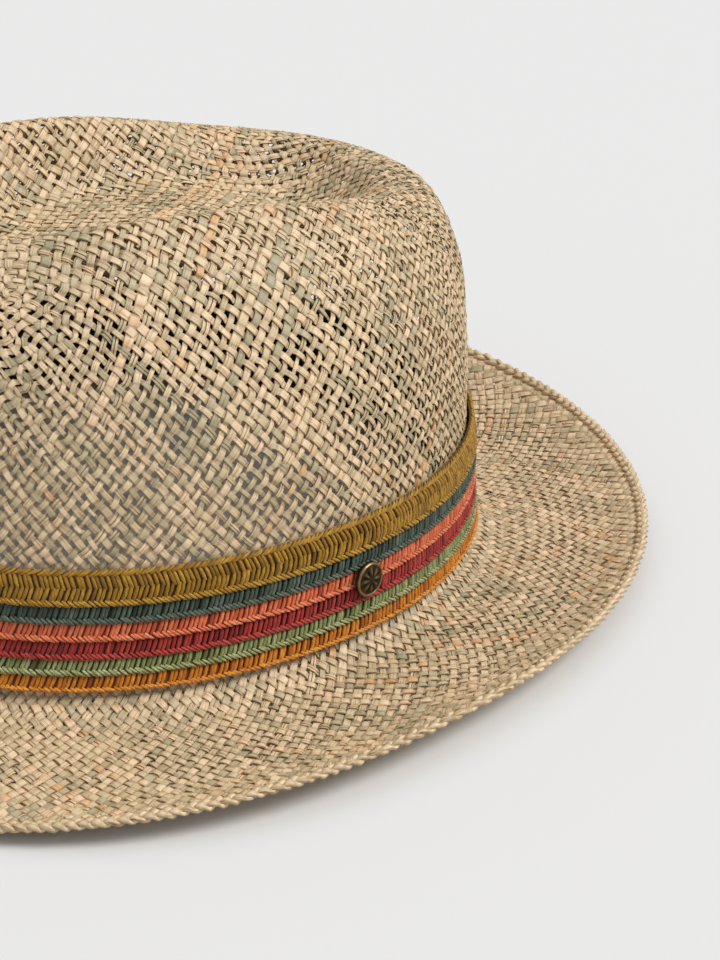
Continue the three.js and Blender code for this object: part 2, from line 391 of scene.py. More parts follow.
# Fine lines that run along a strand or a yarn, from its own along and across, with masks of its sides and of
# painted shade in its dips
def makeFibreGroup():
    group = bpy.data.node_groups.new("fibreLines", "ShaderNodeTree")
    for name, value in (("Lines", 6.0), ("Stretch", 0.25), ("Twist", 0.0)):
        newSocket(group, name, "INPUT", "Float", value)
    for name in ("Lines", "Patches", "Edge", "CreaseShade"):
        newSocket(group, name, "OUTPUT", "Float")
    start = addNode(group, "NodeGroupInput", (-1200, 0))
    end = addNode(group, "NodeGroupOutput", (400, 0))
    along = attributeNode(group, (-1200, 300), "along")
    across = attributeNode(group, (-1200, 150), "across")
    tint = attributeNode(group, (-1200, -200), "tint")
    lift = attributeNode(group, (-1200, 600), "lift")
    turn = mathNode(group, (-1000, 250), "MULTIPLY")
    shear = mathNode(group, (-840, 200), "ADD")
    wide = mathNode(group, (-680, 180), "MULTIPLY")
    long = mathNode(group, (-840, 0), "MULTIPLY")
    seed = mathNode(group, (-840, -200), "MULTIPLY", 61.0)  # gives each stem its own lines
    join = addNode(group, "ShaderNodeCombineXYZ", (-520, 60))
    fine = {"Scale": 1.0, "Detail": 3.0, "Roughness": 0.65}
    lines = addNode(group, "ShaderNodeTexNoise", (-340, 160), fine)
    slow = addNode(group, "ShaderNodeVectorMath", (-340, -120), {1: (0.18, 0.5, 1.0)}, operation="MULTIPLY")
    patches = addNode(group, "ShaderNodeTexNoise", (-160, -120), {"Scale": 1.0, "Detail": 2.0})
    # Edge: the sides of a strand, for its roll and for the painted shade along them
    size = mathNode(group, (-680, 420), "ABSOLUTE")
    edge = addNode(group, "ShaderNodeMapRange", (-340, 420), {"From Min": 0.72, "From Max": 1.0})
    # Crease: painted shade where a strand dives under another, strongest where its lift is near zero
    high = mathNode(group, (-680, 600), "ABSOLUTE")
    creaseShade = addNode(group, "ShaderNodeMapRange", (-340, 600), {"From Min": 0.8, "From Max": 0.0})
    joinNodes(group, [
        (lift, "Fac", high, 0),
        (high, "Value", creaseShade, "Value"),
        (creaseShade, "Result", end, "CreaseShade"),
        (along, "Fac", turn, 0),
        (start, "Twist", turn, 1),
        (across, "Fac", shear, 0),
        (turn, "Value", shear, 1),
        (shear, "Value", wide, 0),
        (start, "Lines", wide, 1),
        (along, "Fac", long, 0),
        (start, "Stretch", long, 1),
        (tint, "Fac", seed, 0),
        (wide, "Value", join, "X"),
        (long, "Value", join, "Y"),
        (seed, "Value", join, "Z"),
        (join, "Vector", lines, "Vector"),
        (join, "Vector", slow, 0),
        (slow, "Vector", patches, "Vector"),
        (across, "Fac", size, 0),
        (size, "Value", edge, "Value"),
        (lines, "Fac", end, "Lines"),
        (patches, "Fac", end, "Patches"),
        (edge, "Result", end, "Edge"),
    ])
    return group


fibreGroup = makeFibreGroup()


def newMaterial(name, inputs):
    material = bpy.data.materials.new(name)
    material.use_nodes = True
    tree = material.node_tree
    tree.nodes.clear()
    shader = addNode(tree, "ShaderNodeBsdfPrincipled", (300, 0), inputs)
    output = addNode(tree, "ShaderNodeOutputMaterial", (600, 0))
    joinNodes(tree, [(shader, "BSDF", output, "Surface")])
    return material, tree, shader


def rampNode(tree, place, stops):
    ramp = addNode(tree, "ShaderNodeValToRGB", place)
    elements = ramp.color_ramp.elements
    while len(elements) < len(stops):
        elements.new(0.5)
    for element, (at, color) in zip(elements, stops):
        element.position = at
        element.color = (*color, 1)
    return ramp


def mixNode(tree, place, tint, blend="MIX"):
    return addNode(tree, "ShaderNodeMix", place, {"B": (*tint, 1)}, data_type="RGBA", blend_type=blend)


def strawMaterial(name, v):
    material, tree, shader = newMaterial(name, {"Specular IOR Level": v["specular"]})
    lineStart, lineFull = v["lineRange"]
    smoothest, roughest = v["roughness"]
    fibreInputs = {"Lines": v["lines"], "Stretch": v["stretch"]}
    lineInputs = {"From Min": lineStart, "From Max": lineFull, "To Max": v["lineDepth"]}
    patchInputs = {"To Min": -v["patchShift"], "To Max": v["patchShift"]}
    fibre = addNode(tree, "ShaderNodeGroup", (-900, 0), fibreInputs, node_tree=fibreGroup)
    tone = attributeNode(tree, (-900, 300), "tone")
    shift = addNode(tree, "ShaderNodeMapRange", (-900, -250), patchInputs)
    shade = mathNode(tree, (-700, 250), "ADD")
    shade.use_clamp = True
    ramp = rampNode(tree, (-520, 250), v["tones"])
    lineRange = addNode(tree, "ShaderNodeMapRange", (-520, 0), lineInputs)
    lineMix = mixNode(tree, (-220, 200), v["lineTint"], "MULTIPLY")
    # Painted shade along the strands' sides
    edgeShadeScale = mathNode(tree, (-520, -200), "MULTIPLY", v["edgeShadeDepth"])
    edgeShadeMix = mixNode(tree, (0, 200), v["edgeShadeTint"], "MULTIPLY")
    # Painted shade in the dips where a strand dives under another
    creaseShadeScale = mathNode(tree, (-220, 450), "MULTIPLY", v["creaseShadeDepth"])
    creaseShadeMix = mixNode(tree, (160, 300), v["creaseShadeTint"], "MULTIPLY")
    rough = addNode(tree, "ShaderNodeMapRange", (-220, -60), {"To Min": smoothest, "To Max": roughest})
    bump = addNode(tree, "ShaderNodeBump", (0, -250), {"Strength": v["bump"], "Distance": v["bumpDepth"]})
    rolled = mathNode(tree, (-220, -300), "MULTIPLY_ADD", -v["roll"])
    joinNodes(tree, [
        (fibre, "Edge", rolled, 0),
        (fibre, "Lines", rolled, 2),
        (fibre, "Patches", shift, "Value"),
        (tone, "Fac", shade, 0),
        (shift, "Result", shade, 1),
        (shade, "Value", ramp, "Fac"),
        (fibre, "Lines", lineRange, "Value"),
        (lineRange, "Result", lineMix, "Factor"),
        (ramp, "Color", lineMix, "A"),
        (lineMix, "Result", edgeShadeMix, "A"),
        (fibre, "Edge", edgeShadeScale, 0),
        (edgeShadeScale, "Value", edgeShadeMix, "Factor"),
        (fibre, "CreaseShade", creaseShadeScale, 0),
        (creaseShadeScale, "Value", creaseShadeMix, "Factor"),
        (edgeShadeMix, "Result", creaseShadeMix, "A"),
        (creaseShadeMix, "Result", shader, "Base Color"),
        (fibre, "Lines", rough, "Value"),
        (rough, "Result", shader, "Roughness"),
        (rolled, "Value", bump, "Height"),
        (bump, "Normal", shader, "Normal"),
    ])
    return material


strawLook = {
    "tones": [
        (0.00, (0.39, 0.355, 0.22)), (0.22, (0.50, 0.425, 0.262)), (0.42, (0.63, 0.495, 0.305)),
        (0.62, (0.75, 0.59, 0.372)), (0.82, (0.85, 0.645, 0.425)), (1.00, (0.68, 0.41, 0.19)),
    ],
    "lines": 3.0, "stretch": 0.13, "patchShift": 0.07,
    "lineRange": (0.52, 0.70), "lineDepth": 1.0, "lineTint": (0.40, 0.25, 0.09),
    # The edge and crease tints are painted shade: along the strands' sides, and in the dips where they go
    # under
    "edgeShadeDepth": 0.4, "edgeShadeTint": (0.47, 0.32, 0.15), "creaseShadeDepth": 0.52, "creaseShadeTint": (0.32, 0.20, 0.08),
    "roughness": (0.36, 0.62), "bump": 0.6, "bumpDepth": 0.0002, "roll": 0.4, "specular": 0.62,
}
strawWeave = strawMaterial("strawWeave", strawLook)
# The plait has more painted shade along its strands' sides and less in its dips
strawPlait = strawMaterial("strawPlait", {**strawLook, "edgeShadeDepth": 0.6, "creaseShadeDepth": 0.4})

cottonLook = {
    "lines": 2.0, "stretch": 0.5, "twist": 0.7, "lineRange": (0.40, 0.66), "lineDepth": 0.75,
    "bump": 0.6, "bumpDepth": 0.0002,
    "surface": {"Roughness": 0.6, "Specular IOR Level": 0.3, "Sheen Weight": 0.15, "Sheen Roughness": 0.5},
}


# Dyed cotton: plies twist round each yarn, fuzz lightens its edges
def cottonMaterial(name, v):
    material, tree, shader = newMaterial(name, v["surface"])
    lineStart, lineFull = v["lineRange"]
    fibreInputs = {"Lines": v["lines"], "Stretch": v["stretch"], "Twist": v["twist"]}
    lineInputs = {"From Min": lineStart, "From Max": lineFull, "To Max": v["lineDepth"]}
    fibre = addNode(tree, "ShaderNodeGroup", (-700, 0), fibreInputs, node_tree=fibreGroup)
    tone = attributeNode(tree, (-700, 300), "tone")
    ramp = rampNode(tree, (-500, 300), [(0.0, v["deep"]), (0.5, v["color"]), (1.0, v["light"])])
    lineRange = addNode(tree, "ShaderNodeMapRange", (-500, 0), lineInputs)
    lineMix = mixNode(tree, (-200, 200), v["deep"])
    bump = addNode(tree, "ShaderNodeBump", (0, -250), {"Strength": v["bump"], "Distance": v["bumpDepth"]})
    joinNodes(tree, [
        (tone, "Fac", ramp, "Fac"),
        (fibre, "Lines", lineRange, "Value"),
        (lineRange, "Result", lineMix, "Factor"),
        (ramp, "Color", lineMix, "A"),
        (lineMix, "Result", shader, "Base Color"),
        (fibre, "Lines", bump, "Height"),
        (bump, "Normal", shader, "Normal"),
    ])
    return material


# What all woven strands share: the shades of a strand and of the stems in it, the limits of
# a stem's width, its shortest length in crossings, and stems that are two thin ones
stemForm = {
    "darkest": 0.25, "toneSpan": 0.55, "evenness": 3, "toneNoise": 0.05, "shortest": 4,
    "stemWidths": (0.62, 1.3), "pairShift": 0.54, "pairHalf": 0.43, "pairTone": 0.1,
}
crownWeave = {
    **stemForm,
    "side": 42,  # strands across each side of the square that the weave starts from
    "pitch": 2.5, "corner": -50, "hidden": 6.0, "seed": 5,
    # rounds that spread the crossings evenly and then set them a pitch apart, and their steps
    "relax": 60, "settle": 330, "settleShare": 0.98, "probe": 0.4, "stepShare": 0.8, "longestStep": 1.0,
    "wide": 1.0, "widthSpread": 0.10, "cellSpread": 0.06, "wander": 0.2, "widths": (0.42, 1.0),
    # the strands' share of the pitch, by mm down the straw from the dent
    "downs": (30, 60, 75), "share": (0.70, 0.64, 0.57),
    "rise": 0.25, "thick": 0.18,
    "stem": (5, 17), "stemSpread": 0.20, "stemTone": 0.17, "split": 0.09, "tilt": 0.14,
}


def discPoint(p):
    down = np.hypot(p[:, 0], p[:, 1]) + surface["top"]
    return sample("points", down, np.arctan2(p[:, 1], p[:, 0]))


# The crossings: a square lattice on the crown's top, which goes on as slanting strands
# down its wall, four corners of the square becoming triangles between them
def makeCrossings(v):
    side, around = v["side"], 4 * v["side"]
    downs, radius = surface["downs"], surface["radius"]
    area = np.cumsum(2 * math.pi * radius * hatForm["rowStep"])
    pitchArea = v["pitch"] ** 2
    wallEnd = np.interp(knots["bandTop"] + v["hidden"], downs, area)
    rings = int(round((wallEnd / pitchArea - 2 * side**2) / around))
    nodes, index, corner = [], {}, math.radians(v["corner"])

    def discAt(enclosed, turn):
        reach = np.interp(enclosed * pitchArea, area, downs) - surface["top"]
        return reach * math.cos(turn), reach * math.sin(turn)

    half = [k + 0.5 for k in range(-side, side)]
    for i in half:
        for j in half:
            norm = abs(i) + abs(j)
            if norm > side:
                continue
            if i > 0 and j > 0:
                turn = j / norm
            elif i < 0 < j:
                turn = 1 - i / norm
            elif i < 0 and j < 0:
                turn = 2 - j / norm
            else:
                turn = 3 + i / norm
            index[(i, j)] = len(nodes)
            nodes.append(discAt(2 * norm**2, corner + turn * math.pi / 2))

    # Where the k-th strand round the hat leaves the square
    def rimPlace(k):
        a, b = side - 0.5 - k % side, k % side + 0.5
        return [(a, b), (-b, a), (-a, -b), (b, -a)][k // side]

    edgeNodes = [index[rimPlace(k)] for k in range(around)]
    ringStart = []
    for m in range(1, rings + 1):
        ringStart.append(len(nodes))
        for k in range(around):
            nodes.append(discAt(2 * side**2 + around * m, corner + 2 * math.pi * (k + 0.5 + m / 2) / around))

    def ringNode(m, k):
        return edgeNodes[k % around] if m == 0 else ringStart[m - 1] + k % around

    # Each crossing has two lines through it: its pairs of opposite neighbours
    pairs = {}
    parity = {}
    for (i, j), n in index.items():
        if abs(i) + abs(j) < side:
            pairs[n] = [(index[(i - 1, j)], index[(i + 1, j)]), (index[(i, j - 1)], index[(i, j + 1)])]
            parity[n] = 1 if (i - 0.5 + j - 0.5 - (side - 1)) % 2 == 0 else -1
    for k in range(around):
        n, s = edgeNodes[k], k // side
        i, j = rimPlace(k)
        ahead = index[[(i - 1, j), (i, j - 1), (i + 1, j), (i, j + 1)][s]]
        behind = index[[(i, j - 1), (i + 1, j), (i, j + 1), (i - 1, j)][s]]
        pairs[n] = [(ringNode(1, k - 1), ahead), (ringNode(1, k), behind)]
        parity[n] = 1
    for m in range(1, rings + 1):
        for k in range(around):
            n = ringNode(m, k)
            down = (ringNode(m + 1, k - 1), ringNode(m + 1, k)) if m < rings else (None, None)
            pairs[n] = [(down[0], ringNode(m - 1, k + 1)), (down[1], ringNode(m - 1, k))]
            parity[n] = 1 if m % 2 == 0 else -1
    return np.array(nodes), pairs, parity


# Moves each crossing towards the middle of its four neighbours, and then to where they are
# all a pitch away, by way of the surface's own slopes at that place
def relaxCrossings(p, pairs, v):
    free = np.array([n for n, two in pairs.items() if two[0][0] is not None])
    near = np.array([[a for pair in pairs[n] for a in pair] for n in free])
    h = v["probe"]
    for step in range(v["relax"] + v["settle"]):
        points = discPoint(p)
        gaps = points[near] - points[free][:, None]
        if step >= v["relax"]:
            gaps = gaps - unit(gaps) * v["pitch"] * v["settleShare"]
        goal = gaps.mean(axis=1)
        here = p[free]
        ex = (discPoint(here + (h, 0)) - discPoint(here - (h, 0))) / (2 * h)
        ey = (discPoint(here + (0, h)) - discPoint(here - (0, h))) / (2 * h)
        a, b, c = (ex * ex).sum(1), (ex * ey).sum(1), (ey * ey).sum(1)
        gx, gy = (ex * goal).sum(1), (ey * goal).sum(1)
        det = np.maximum(a * c - b * b, 0.02)  # never near zero, since it divides
        move = np.stack(((c * gx - b * gy) / det, (a * gy - b * gx) / det), axis=1)
        size = np.linalg.norm(move, axis=1, keepdims=True)
        p[free] += v["stepShare"] * move * np.minimum(1, v["longestStep"] / np.maximum(size, 1e-6))
    return p


stationShare = 0.3  # of the way to the next crossing


# Where a strand has its points: a little before and after each crossing
def strandStations(last):
    stations = np.arange(last + 1)[:, None] + np.array((-stationShare, stationShare))
    return np.clip(stations.ravel(), 0, last)


# Follows each strand from the foot of the wall, over the top and down again
def traceStrands(pairs):
    strands, seen = [], set()
    for n, two in pairs.items():
        if two[0][0] is not None:
            continue
        for which, above in enumerate(pair[1] for pair in two):
            if (n, above) in seen:
                continue
            path, sides = [n], [which]
            before, now = n, above
            while now is not None:
                w = 0 if before in pairs[now][0] else 1
                path.append(now)
                sides.append(w)
                pair = pairs[now][w]
                step = pair[1] if pair[0] == before else pair[0]
                before, now = now, step
            seen.add((path[-1], path[-2]))
            seen.add((path[0], path[1]))
            strands.append((path, sides))
    return strands


def crownLines(v):
    rng = np.random.default_rng(v["seed"])
    p, pairs, parity = makeCrossings(v)
    p = relaxCrossings(p, pairs, v)
    points = discPoint(p)
    strands = traceStrands(pairs)
    # the width that each strand has room for at each crossing
    room = {}
    for n, two in pairs.items():
        ends = [points[n if b is None else b] - points[n if a is None else a] for a, b in two]
        spans = [np.linalg.norm(e) / (2 if None not in pair else 1) for e, pair in zip(ends, two)]
        crossing = np.linalg.norm(np.cross(unit(ends[0]), unit(ends[1])))
        room[n] = (spans[1] * crossing, spans[0] * crossing)
    p = p + rng.normal(0, v["wander"], p.shape)
    lines = []
    for path, sides in strands:
        disc = p[path]
        count = len(path)
        strandWidth = v["wide"] * (1 + rng.normal(0, v["widthSpread"]))
        width = strandWidth * (1 + rng.normal(0, v["cellSpread"], count))
        width = width * np.interp(np.hypot(disc[:, 0], disc[:, 1]) + surface["top"], v["downs"], v["share"])
        widest = np.array([room[n][w] for n, w in zip(path, sides)])
        half = 0.5 * widest * np.clip(width, *v["widths"])
        sign = np.array([parity[n] * (1 if w == 0 else -1) for n, w in zip(path, sides)])
        at = strandStations(count - 1)
        i = np.minimum(at.astype(int), count - 2)
        u = (at - i)[:, None]
        before, after = disc[np.maximum(i - 1, 0)], disc[np.minimum(i + 2, count - 1)]
        here, there = disc[i], disc[i + 1]
        curve = 0.5 * (2 * here + (there - before) * u + (2 * before - 5 * here + 4 * there - after) * u**2
                       + (3 * here - before - 3 * there + after) * u**3)
        down = np.hypot(curve[:, 0], curve[:, 1]) + surface["top"]
        angle = np.arctan2(curve[:, 1], curve[:, 0])
        lines += spliceStems(rng, v, down, angle, half, sign)
    return lines


grooveForm = {"depth": 0.35, "fromEdge": 5.5, "spread": 0.9}


# The pressed line that runs just inside the brim's edge
def grooveDepth(down):
    middle = knots["brimEdge"] - grooveForm["fromEdge"]
    return grooveForm["depth"] * np.exp(-((middle - down) / grooveForm["spread"]) ** 2)


# A strand goes over and under, and is spliced from stems that meet where it is under
# another. Each stem has its own shade and width, and some are two thin ones side by side.
def spliceStems(rng, v, down, angle, half, sign, lift=0.0):
    last = len(sign) - 1
    wave = np.repeat(sign, 2).astype(float)
    place, outs = onHat(down, angle, -hatForm["wall"] / 2 + v["rise"] * wave - grooveDepth(down), lift)
    at = strandStations(last)
    half = np.interp(at, np.arange(last + 1), half) * mm
    side = unit(np.cross(outs, np.gradient(place, axis=0)))
    outs = outs + side * np.interp(at, np.arange(last + 1), rng.normal(0, v["tilt"], last + 1))[:, None]
    along = np.concatenate(([0], np.cumsum(np.linalg.norm(np.diff(place, axis=0), axis=1)))) / mm
    strand = v["darkest"] + v["toneSpan"] * rng.beta(v["evenness"], v["evenness"])
    lines, start = [], 0
    while start < last:
        end = min(start + int(rng.integers(*v["stem"])), last)
        end += int(sign[end] > 0 and end < last)
        end = last if end > last - v["shortest"] else end
        part = slice(2 * start, 2 * end + (2 if end == last else 1))
        size = half[part] * np.clip(1 + rng.normal(0, v["stemSpread"]), *v["stemWidths"])
        tone = strand + rng.normal(0, v["stemTone"]) + rng.normal(0, v["toneNoise"], end - start + 1)
        tone = np.clip(np.interp(at[part], np.arange(start, end + 1), tone), 0, 1)
        if rng.random() < v["split"]:
            for way in (-1, 1):
                beside = place[part] + side[part] * (size * v["pairShift"] * way)[:, None]
                fade = np.clip(tone + rng.normal(0, v["pairTone"]), 0, 1)
                thin = size * v["pairHalf"]
                lines.append((beside, outs[part], thin, along[part], fade, rng.random(), wave[part]))
        else:
            lines.append((place[part], outs[part], size, along[part], tone, rng.random(), wave[part]))
        start = end
    return lines


crownStrands = crownLines(crownWeave)
print("crown stems", len(crownStrands))
for n, name in enumerate(("crown_weave_a", "crown_weave_b", "crown_weave_c")):
    piece = sweepLines(name, crownStrands[n::3], strawWeave, crownWeave["thick"])
    finishPiece(piece, "crown")

brimWeave = {
    **stemForm,
    "strands": 222, "lean": 32,  # strands each way, and their slant from the radius at the band
    "belowSeam": 0.6, "pastEdge": 0.2,  # where they start and end
    "walk": 0.1,  # the step that adds up their turn, in mm down the brim
    "wide": 0.81, "widthSpread": 0.07, "cellSpread": 0.06, "widths": (0.66, 1.1),
    "wander": 0.0013, "ringSpread": 0.15, "rise": 0.27, "thick": 0.16, "offFloor": 0.4, "seed": 11,
    # how far from the edge the strands lie closer or more open, in mm, and their widths there
    "fromEdge": (0, 8, 13, 19, 28), "share": (1.16, 1.12, 0.86, 0.9, 1.0),
    # strands laid round along the edge, by mm inside it, and half their width
    "binding": (-0.8, 0.3, 1.4, 2.5), "bindingHalf": 0.62, "bindingLift": 0.9,
    "bindingShades": 90, "bindingTone": (0.5, 0.16),
    "stem": (4, 13), "stemSpread": 0.10, "stemTone": 0.16, "split": 0.06, "tilt": 0.16,
}


def brimLines(v):
    rng = np.random.default_rng(v["seed"])
    downs = np.arange(knots["seam"] + v["belowSeam"], knots["brimEdge"] + v["pastEdge"], v["walk"])
    radius = np.interp(downs, surface["downs"], surface["radius"])
    base = radius[0] * math.cos(math.radians(v["lean"]))
    slant = np.sqrt(np.maximum((radius / base) ** 2 - 1, 0.01))  # never quite along the radius
    turn = np.concatenate(([0], np.cumsum((slant / radius)[:-1] * v["walk"])))
    step = math.pi / v["strands"]
    rings = int(turn[-1] / step)
    m = np.arange(rings + 1)
    ringDown = np.interp(m * step, turn, downs)
    ringDown[-1] = knots["brimEdge"] + v["pastEdge"]
    pitch = 2 * math.pi * base / v["strands"]
    lines = []
    for way in (1, -1):
        for k in range(v["strands"]):
            angle = 2 * math.pi * k / v["strands"] + way * m * step + rng.normal(0, v["wander"], rings + 1)
            down = ringDown + rng.normal(0, v["ringSpread"], rings + 1) * (m > 0) * (m < rings)
            sign = way * np.where(m % 2 == 0, 1, -1)
            strandWidth = v["wide"] * (1 + rng.normal(0, v["widthSpread"]))
            width = strandWidth * (1 + rng.normal(0, v["cellSpread"], rings + 1))
            width = width * np.interp(knots["brimEdge"] - ringDown, v["fromEdge"], v["share"])
            half = 0.5 * pitch * np.clip(width, *v["widths"])
            at = strandStations(rings)
            down, angle = np.interp(at, m, down), np.interp(at, m, angle)
            lines += spliceStems(rng, v, down, angle, half, sign, v["offFloor"])
    return lines + bindingLines(rng, v, radius[-1])


def bindingLines(rng, v, radius):
    count, shades = 2 * v["strands"] + 1, v["bindingShades"]
    angle = np.linspace(0, 2 * math.pi, count)
    lines = []
    for row in v["binding"]:
        down = np.full(count, knots["brimEdge"] - max(row, 0))
        past = np.full(count, max(-row, 0))
        place, outs = onHat(down, angle, -hatForm["wall"] / 2 - grooveDepth(down), v["offFloor"], past)
        tone = np.clip(rng.normal(*v["bindingTone"], shades), 0, 1)
        tone = np.interp(angle, np.linspace(0, 2 * math.pi, shades), tone)
        half = np.full(count, v["bindingHalf"] * mm)
        lines.append((place, outs, half, angle * radius, tone, rng.random(), v["bindingLift"]))
    return lines


brimStrands = brimLines(brimWeave)
print("brim stems", len(brimStrands))
for n, name in enumerate(("brim_weave_a", "brim_weave_b")):
    piece = sweepLines(name, brimStrands[n::2], strawWeave, brimWeave["thick"])
    finishPiece(piece, "brim")

edgePlait = {
    "radius": 1.9, "round": 132,  # of the rope, and of the ring that it makes round the hat
    "strands": 3, "cycles": 90, "steps": 12, "seed": 3,
    "sway": 0.92, "weave": 0.5, "half": 0.98, "halfSpread": 0.09, "thick": 0.72,
    "wander": 0.06, "tilt": 0.2, "offFloor": 0.45,
    "stems": 60, "stemShades": 15, "darkest": 0.35, "toneSpan": 0.4, "evenness": 3, "toneNoise": 0.06,
    "core": 0.5, "coreSides": 8, "coreSteps": 240, "coreTone": 0.3,
}


def edgeCentre(v, angle):
    down = np.full(len(angle), knots["brimEdge"])
    points, outs = onHat(down, angle, -hatForm["wall"] / 2, past=hatForm["seamGap"] + v["radius"])
    alongs = unit(sample("alongs", down, angle)) @ leanTurn.T
    return points, outs, alongs


def edgeLines(v):
    rng = np.random.default_rng(v["seed"])
    lines = []
    total = v["cycles"] * v["steps"]
    shades = v["stems"] * v["stemShades"]
    i = np.arange(total + 1)
    centre, outs, alongs = edgeCentre(v, 2 * math.pi * i / total)
    for n in range(v["strands"]):
        phase = 2 * math.pi * (i / v["steps"] + n / v["strands"])
        wobble = rng.normal(0, v["wander"], (2, total + 1))
        wobble[:, -1] = wobble[:, 0]
        place = centre + alongs * ((v["sway"] * np.sin(phase) + wobble[0]) * mm)[:, None]
        place = place + outs * ((v["weave"] * np.sin(2 * phase) + wobble[1]) * mm)[:, None]
        place[:, 2] = np.maximum(place[:, 2], v["offFloor"] * mm)
        stems = v["darkest"] + v["toneSpan"] * rng.beta(v["evenness"], v["evenness"], v["stems"])
        tone = np.repeat(stems, v["stemShades"]) + rng.normal(0, v["toneNoise"], shades)
        tone = np.interp(i, np.linspace(0, total, shades), np.clip(tone, 0, 1))
        half = v["half"] * (1 + rng.normal(0, v["halfSpread"], total + 1)) * mm
        along = i * (2 * math.pi * v["round"]) / total
        tilted = unit(outs + alongs * v["tilt"] * np.sin(phase)[:, None])
        # Its lift sets the painted shade in the dips where the plait's strands pass under each other
        lines.append((place, tilted, half, along, tone, rng.random(), np.sin(2 * phase)))
    return lines


# A plain core fills the plait and is pressed flat on the floor
def edgeCore(v):
    centre, outs, alongs = edgeCentre(v, np.linspace(0, 2 * math.pi, v["coreSteps"], endpoint=False))
    core = []
    for n in range(v["coreSides"]):
        turn = 2 * math.pi * n / v["coreSides"]
        ring = centre + (outs * math.cos(turn) + alongs * math.sin(turn)) * v["core"] * mm
        ring[:, 2] = np.maximum(ring[:, 2], 0)
        core.append(ring)
    return core


piece = sweepLines(
    "edge_plait", edgeLines(edgePlait), strawPlait, edgePlait["thick"], False,
    edgeCore(edgePlait), edgePlait["coreTone"],
)
finishPiece(piece, "brim_edge")

braidForm = {
    "rise": 1.2, "tuck": 1.2, "chain": 1.5, "topChain": 1.3, "upperRow": 3.1,
    "yarns": 474, "steps": 4, "yarnHalf": 0.56, "chainHalf": 0.39, "thick": 0.95, "seed": 21,
    "placeSpread": 0.12, "leanSpread": 0.10, "endSpread": 0.14, "halfSpread": 0.08, "toneSpread": 0.2,
    "taper": 0.28, "tip": 0.08,  # how much thinner a yarn's ends are, and how long they stay so
    # the plain ring under the yarns, as mm down from its top and out of the straw
    "openTop": ((0.3, 0.75), (2, 1.05)), "coveredTop": ((0, 0.55),),
    "waistOut": 1.3, "lipOut": 1.5, "lipIn": 0.9, "lipShort": 0.1, "rest": 0.3, "sides": 240,
}
# Rows of yarns: the levels of the braid that they run between, with mm added to them, how
# far out of the straw and how far round the hat they go, their thickness, their arch, and
# how much lighter they are painted: a painted highlight on the chains, where light catches them
yarnRows = {
    "topChain": {
        "from": ("start", 0.15), "to": ("start", 1.5), "out": (0.85, 1.25), "lean": -2.3,
        "half": "chainHalf", "arch": 0.35, "paintedHighlight": 0.1,
    },
    "upper": {
        "from": ("start", 1.2), "to": ("middle", 0.3), "out": (1.0, 1.45), "lean": 1.2,
        "half": "yarnHalf", "arch": 0.35, "paintedHighlight": 0,
    },
    "lower": {
        "from": ("middle", -0.3), "to": ("waist", 0.35), "out": (1.45, 1.7), "lean": -1.2,
        "half": "yarnHalf", "arch": 0.35, "paintedHighlight": 0,
    },
    "single": {
        "from": ("top", -0.7), "to": ("waist", 0.35), "out": (0.75, 1.65), "lean": -1.35,
        "half": "yarnHalf", "arch": 0.35, "paintedHighlight": 0,
    },
    "chain": {
        "from": ("waist", -0.15), "to": ("end", -0.05), "out": (2.0, 1.85), "lean": 2.3,
        "half": "chainHalf", "arch": 0.4, "paintedHighlight": 0.34,
    },
}
braids = {
    "band_olive": {
        "slot": "olive_braid", "shows": 8.9,
        "deep": (0.13, 0.062, 0.005), "color": (0.43, 0.215, 0.008), "light": (0.58, 0.33, 0.03),
    },
    "band_teal": {
        "slot": "teal_braid", "shows": 4.6,
        "deep": (0.018, 0.030, 0.021), "color": (0.062, 0.096, 0.066), "light": (0.16, 0.20, 0.15),
    },
    "band_coral": {
        "slot": "coral_braid", "shows": 4.5,
        "deep": (0.36, 0.06, 0.02), "color": (0.84, 0.19, 0.075), "light": (0.95, 0.32, 0.15),
    },
    "band_crimson": {
        "slot": "crimson_braid", "shows": 4.8,
        "deep": (0.13, 0.010, 0.008), "color": (0.43, 0.026, 0.020), "light": (0.60, 0.07, 0.05),
    },
    "band_green": {
        "slot": "green_braid", "shows": 4.1,
        "deep": (0.09, 0.095, 0.02), "color": (0.325, 0.365, 0.135), "light": (0.50, 0.53, 0.28),
    },
    "band_ochre": {
        "slot": "ochre_braid", "shows": 4.4,
        "deep": (0.24, 0.06, 0.004), "color": (0.69, 0.23, 0.008), "light": (0.86, 0.37, 0.04),
    },
}


# A row of short yarns that all lean the same way
def rowLines(rng, v, row, start, end):
    lines = []
    lean, (outStart, outEnd) = row["lean"], row["out"]
    radius = float(np.interp((start + end) / 2, surface["downs"], surface["radius"]))
    u = np.linspace(0, 1, v["steps"])
    taper = 1 - v["taper"] + v["taper"] * np.sin(math.pi * np.clip(u, v["tip"], 1 - v["tip"]))
    for k in range(v["yarns"]):
        base = 2 * math.pi * (k + rng.normal(0, v["placeSpread"])) / v["yarns"]
        angle = base + lean * (1 + rng.normal(0, v["leanSpread"])) * (u - 0.5) / radius
        down = start + (end - start) * u - abs(rng.normal(0, v["endSpread"])) * u
        out = outStart + (outEnd - outStart) * u + row["arch"] * np.sin(math.pi * u)
        place, outs = onHat(down, angle, out)
        size = v[row["half"]] * (1 + rng.normal(0, v["halfSpread"])) * taper
        # The row's painted highlight lifts the tone of its yarns
        tone = np.full(v["steps"], np.clip(0.5 + row["paintedHighlight"] + rng.normal(0, v["toneSpread"]), 0, 1))
        along = u * math.hypot(end - start, lean)
        lines.append((place, outs, size * mm, along, tone, rng.random(), 1.0))
    return lines


